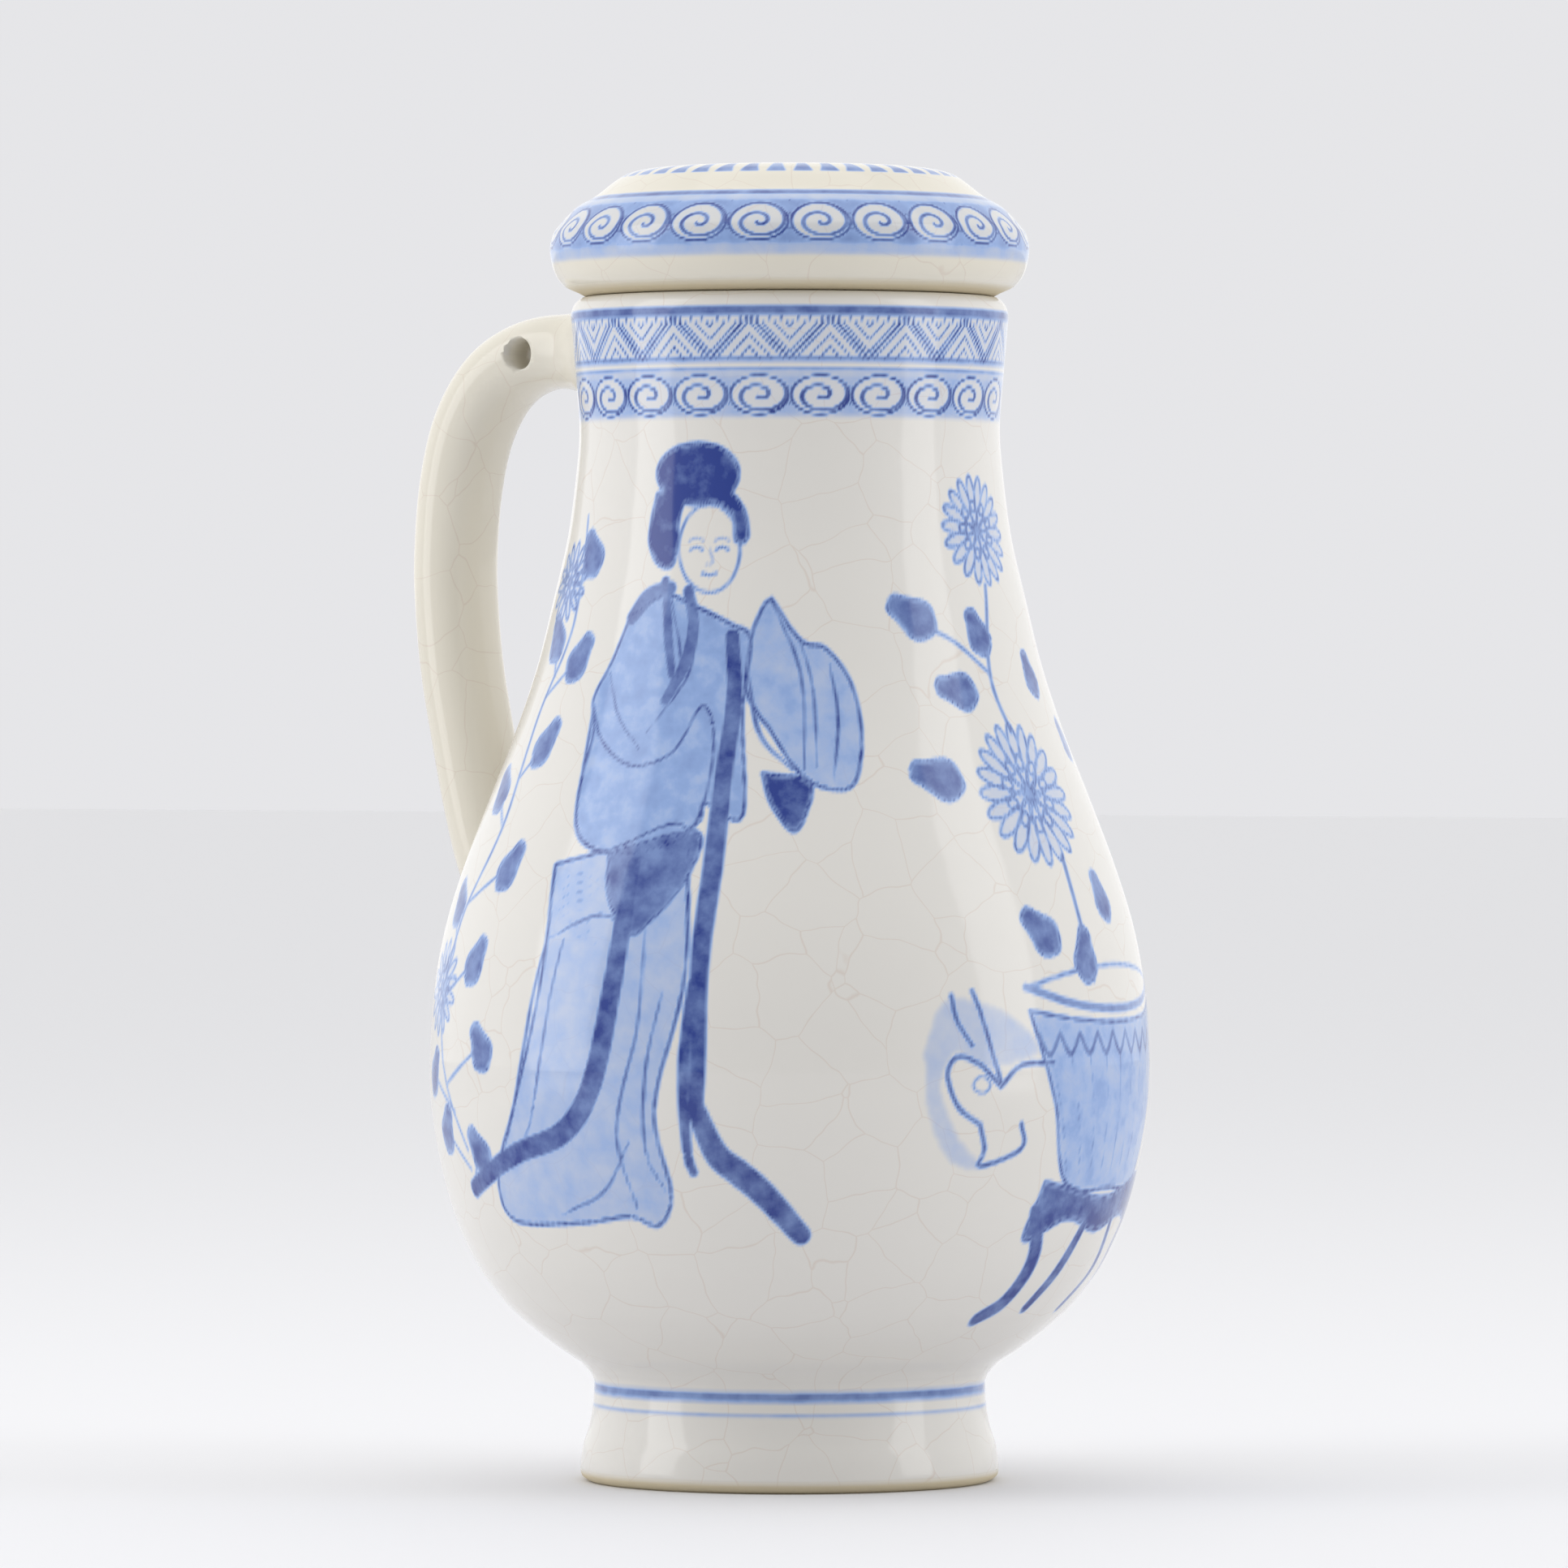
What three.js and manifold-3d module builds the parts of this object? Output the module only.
// A covered porcelain jar with a strap handle: body thrown in two halves, handle and lift-off lid.
// Millimetres, +Z up, standing on its foot ring, handle towards -X.
import * as THREE from 'three';
import { mergeVertices } from 'three/addons/utils/BufferGeometryUtils.js';
import Module from 'manifold-3d';

const wasm = await Module();
wasm.setup();

// Foot ring and base
const FOOT_REST_RADIUS = 21.4;
const FOOT_RADIUS = 22.4;
const FOOT_BEVEL_HEIGHT = 1.5;
const FOOT_RING_WIDTH = 3.0;
const FOOT_RECESS_RADIUS = 17.6;
const FOOT_RECESS_DEPTH = 7.0;
const FOOT_WAIST_RADIUS = 20.96;
const FOOT_WAIST_HEIGHT = 10.65;
const BASE_THICKNESS = 4.5;

// Belly and shoulder
const BELLY_RADIUS = 38.57;
const BELLY_HEIGHT = 45.0;
const BELLY_WALL = 3.6;
const SHOULDER_RADIUS = 32.0;
const SHOULDER_HEIGHT = 73.3;

// Neck and mouth
const NECK_RADIUS = 22.5;
const NECK_HEIGHT = 112.4;
const RIM_RADIUS = 23.4;
const RIM_HEIGHT = 126.6;
const RIM_ROUND = 1.0;
const MOUTH_RADIUS = 21.0;
const MOUTH_DEPTH = 12.0;

// Lid
const LID_RADIUS = 25.65;
const LID_HEIGHT = 14.0;
const LID_EDGE_HEIGHT = 4.9;
const CROWN_RADIUS = 15.0;
const LID_WALL = 3.8;
const FLANGE_DEPTH = 8.0;
const FLANGE_WALL = 2.0;
const LID_CLEARANCE = 0.4;

// Handle
const HANDLE_THICKNESS = 8.0;
const HANDLE_WIDTH = 10.4;
const HANDLE_REACH = 42.0;
const HANDLE_BELOW_RIM = 5.6;
const HANDLE_TOP = RIM_HEIGHT - HANDLE_BELOW_RIM;
const HANDLE_FOOT = 61.0;
const HANDLE_HOLE_RADIUS = 1.75;
const HANDLE_HOLE_REACH = 31.0;
const LUTING_GAP = 0.3;

// Facets
const TURN_FACETS = 48;
const STRAP_STEPS = 26;
const STRAP_FACETS = 8;
const HOLE_FACETS = 20;
const CURVE_POINTS = 2;

const point = (radius, height) => new THREE.Vector2(radius, height);
const mix = (from, to, share) => from + (to - from) * share;

// A smooth outline through a few key points, given upwards
function smooth(keys) {
  return new THREE.SplineCurve(keys).getPoints((keys.length - 1) * CURVE_POINTS);
}

// Foot waist to widest belly: heights as shares of the rise, radii as shares of the swell
function lowerOutline() {
  const at = (swell, rise) => point(
    mix(FOOT_WAIST_RADIUS, BELLY_RADIUS, swell),
    mix(FOOT_WAIST_HEIGHT, BELLY_HEIGHT, rise),
  );
  return smooth([at(0, 0), at(0.2, 0.1), at(0.55, 0.253), at(0.8, 0.46), at(0.95, 0.72), at(1, 1)]);
}

// Widest belly over the shoulder to the neck and the flared rim
function upperOutline() {
  const overBelly = mix(BELLY_HEIGHT, SHOULDER_HEIGHT, 0.5);
  const shoulderSlope = mix(SHOULDER_HEIGHT, NECK_HEIGHT, 0.36);
  const neckSlope = mix(SHOULDER_HEIGHT, NECK_HEIGHT, 0.7);
  return smooth([
    point(BELLY_RADIUS, BELLY_HEIGHT),
    point(mix(BELLY_RADIUS, SHOULDER_RADIUS, 0.28), overBelly),
    point(SHOULDER_RADIUS, SHOULDER_HEIGHT),
    point(mix(SHOULDER_RADIUS, NECK_RADIUS, 0.53), shoulderSlope),
    point(mix(SHOULDER_RADIUS, NECK_RADIUS, 0.86), neckSlope),
    point(NECK_RADIUS, NECK_HEIGHT),
    point(RIM_RADIUS, RIM_HEIGHT - RIM_ROUND * 2),
  ]);
}

// The same outline, moved inwards by the wall
function inwards(outline, wall) {
  return outline.map((spot) => point(spot.x - wall, spot.y));
}

function turned(profile) {
  const geometry = new THREE.LatheGeometry(profile, TURN_FACETS);
  geometry.rotateX(Math.PI / 2);
  return geometry;
}

function solid(geometry) {
  const bare = geometry.clone();
  bare.deleteAttribute('normal');
  bare.deleteAttribute('uv');
  const merged = mergeVertices(bare);
  const corners = merged.index.array;
  const kept = [];
  for (let i = 0; i < corners.length; i += 3) {
    const [a, b, c] = [corners[i], corners[i + 1], corners[i + 2]];
    if (a !== b && b !== c && c !== a) kept.push(a, b, c);
  }
  const mesh = new wasm.Mesh({
    numProp: 3,
    vertProperties: Float32Array.from(merged.attributes.position.array),
    triVerts: Uint32Array.from(kept),
  });
  return new wasm.Manifold(mesh);
}

function geometryOf(manifold) {
  const mesh = manifold.getMesh();
  const geometry = new THREE.BufferGeometry();
  geometry.setAttribute('position', new THREE.BufferAttribute(mesh.vertProperties, 3));
  geometry.setIndex(new THREE.BufferAttribute(mesh.triVerts, 1));
  geometry.computeVertexNormals();
  return geometry;
}

function lowerBody() {
  const floor = FOOT_RECESS_DEPTH + BASE_THICKNESS;
  const inner = inwards(lowerOutline(), BELLY_WALL).filter((spot) => spot.y > floor + 2);
  const lowestInner = inner[0];
  return turned([
    point(0, FOOT_RECESS_DEPTH),
    point(FOOT_RECESS_RADIUS, FOOT_RECESS_DEPTH),
    point(FOOT_REST_RADIUS - FOOT_RING_WIDTH, 0),
    point(FOOT_REST_RADIUS, 0),
    point(FOOT_RADIUS, FOOT_BEVEL_HEIGHT),
    point(mix(FOOT_RADIUS, FOOT_WAIST_RADIUS, 0.55), mix(FOOT_BEVEL_HEIGHT, FOOT_WAIST_HEIGHT, 0.4)),
    ...lowerOutline(),
    ...inner.reverse(),
    point(lowestInner.x * 0.8, floor + 0.5),
    point(0, floor),
  ]);
}

function upperBody() {
  const outer = upperOutline();
  const mouthFloor = RIM_HEIGHT - MOUTH_DEPTH;
  const inner = inwards(outer, BELLY_WALL).filter((spot) => spot.y < mouthFloor - 4);
  return turned([
    ...outer,
    point(RIM_RADIUS - RIM_ROUND, RIM_HEIGHT),
    point(MOUTH_RADIUS, RIM_HEIGHT),
    point(MOUTH_RADIUS, mouthFloor),
    ...inner.reverse(),
    outer[0],
  ]);
}

// Cap and locating flange, seated on the rim
function lid() {
  const flangeRadius = MOUTH_RADIUS - LID_CLEARANCE;
  const top = RIM_HEIGHT + LID_HEIGHT;
  const edge = RIM_HEIGHT + LID_EDGE_HEIGHT;
  const at = (share, rise) => point(mix(LID_RADIUS, CROWN_RADIUS, share), mix(edge, top, rise));
  const ceiling = top - LID_WALL;
  return turned([
    point(0, ceiling),
    point(flangeRadius - FLANGE_WALL - 2, ceiling - 0.6),
    point(flangeRadius - FLANGE_WALL, ceiling - 3),
    point(flangeRadius - FLANGE_WALL, RIM_HEIGHT - FLANGE_DEPTH),
    point(flangeRadius, RIM_HEIGHT - FLANGE_DEPTH),
    point(flangeRadius, RIM_HEIGHT),
    point(RIM_RADIUS - RIM_ROUND, RIM_HEIGHT),
    point(mix(RIM_RADIUS, LID_RADIUS, 0.4), mix(RIM_HEIGHT, edge, 0.28)),
    point(mix(RIM_RADIUS, LID_RADIUS, 0.8), mix(RIM_HEIGHT, edge, 0.58)),
    ...smooth([at(0, 0), at(0.08, 0.29), at(0.28, 0.52), at(0.58, 0.75), at(0.81, 0.92), at(1, 0.975)]),
    point(0, top),
  ]);
}

// The strap's middle line, from inside the neck wall out, down and back into the belly
function strapLine() {
  const drop = (share) => mix(HANDLE_TOP, HANDLE_FOOT, share);
  const out = (share) => mix(RIM_RADIUS, HANDLE_REACH, share);
  const spots = [
    [NECK_RADIUS - BELLY_WALL, HANDLE_TOP],
    [out(0.4), drop(0)],
    [out(0.68), drop(0.04)],
    [out(0.87), drop(0.125)],
    [out(0.965), drop(0.235)],
    [out(1), drop(0.36)],
    [out(0.955), drop(0.57)],
    [out(0.795), drop(0.82)],
    [out(0.6), drop(1)],
    [out(0.42), drop(1.07)],
  ];
  return new THREE.CatmullRomCurve3(spots.map(([reach, height]) => new THREE.Vector3(-reach, 0, height)));
}

// Everything inside the outline of the body, a luting gap larger
function bodyEnvelope() {
  const grown = (spot) => point(spot.x + LUTING_GAP, spot.y);
  return solid(turned([
    point(0, FOOT_WAIST_HEIGHT),
    ...lowerOutline().map(grown),
    ...upperOutline().slice(1).map(grown),
    point(RIM_RADIUS + LUTING_GAP, RIM_HEIGHT),
    point(0, RIM_HEIGHT),
  ]));
}

function handle() {
  const section = new THREE.Shape();
  section.absellipse(0, 0, HANDLE_WIDTH / 2, HANDLE_THICKNESS / 2, 0, Math.PI * 2);
  const strap = new THREE.ExtrudeGeometry(section, {
    steps: STRAP_STEPS,
    curveSegments: STRAP_FACETS,
    bevelEnabled: false,
    extrudePath: strapLine(),
  });
  const drill = new THREE.CylinderGeometry(HANDLE_HOLE_RADIUS, HANDLE_HOLE_RADIUS, HANDLE_WIDTH * 2, HOLE_FACETS);
  drill.translate(-HANDLE_HOLE_REACH, 0, HANDLE_TOP);
  return geometryOf(solid(strap).subtract(bodyEnvelope()).subtract(solid(drill)));
}

function piece(name, geometry, color, roughness) {
  const mesh = new THREE.Mesh(geometry, new THREE.MeshStandardMaterial({ color, roughness, metalness: 0 }));
  mesh.name = name;
  return mesh;
}

const jar = new THREE.Group();
jar.add(piece('lower_body', lowerBody(), 0xe6e3dc, 0.2));
jar.add(piece('upper_body', upperBody(), 0xe8e5df, 0.2));
jar.add(piece('handle', handle(), 0xe4ddcb, 0.22));
jar.add(piece('lid', lid(), 0xe3decf, 0.22));

// The origin is under the middle of the whole outline, so the jar's axis lies to one side of it
const outline = new THREE.Box3().setFromObject(jar);
jar.position.x = -(outline.min.x + outline.max.x) / 2;
jar.updateMatrixWorld(true);

export default jar;
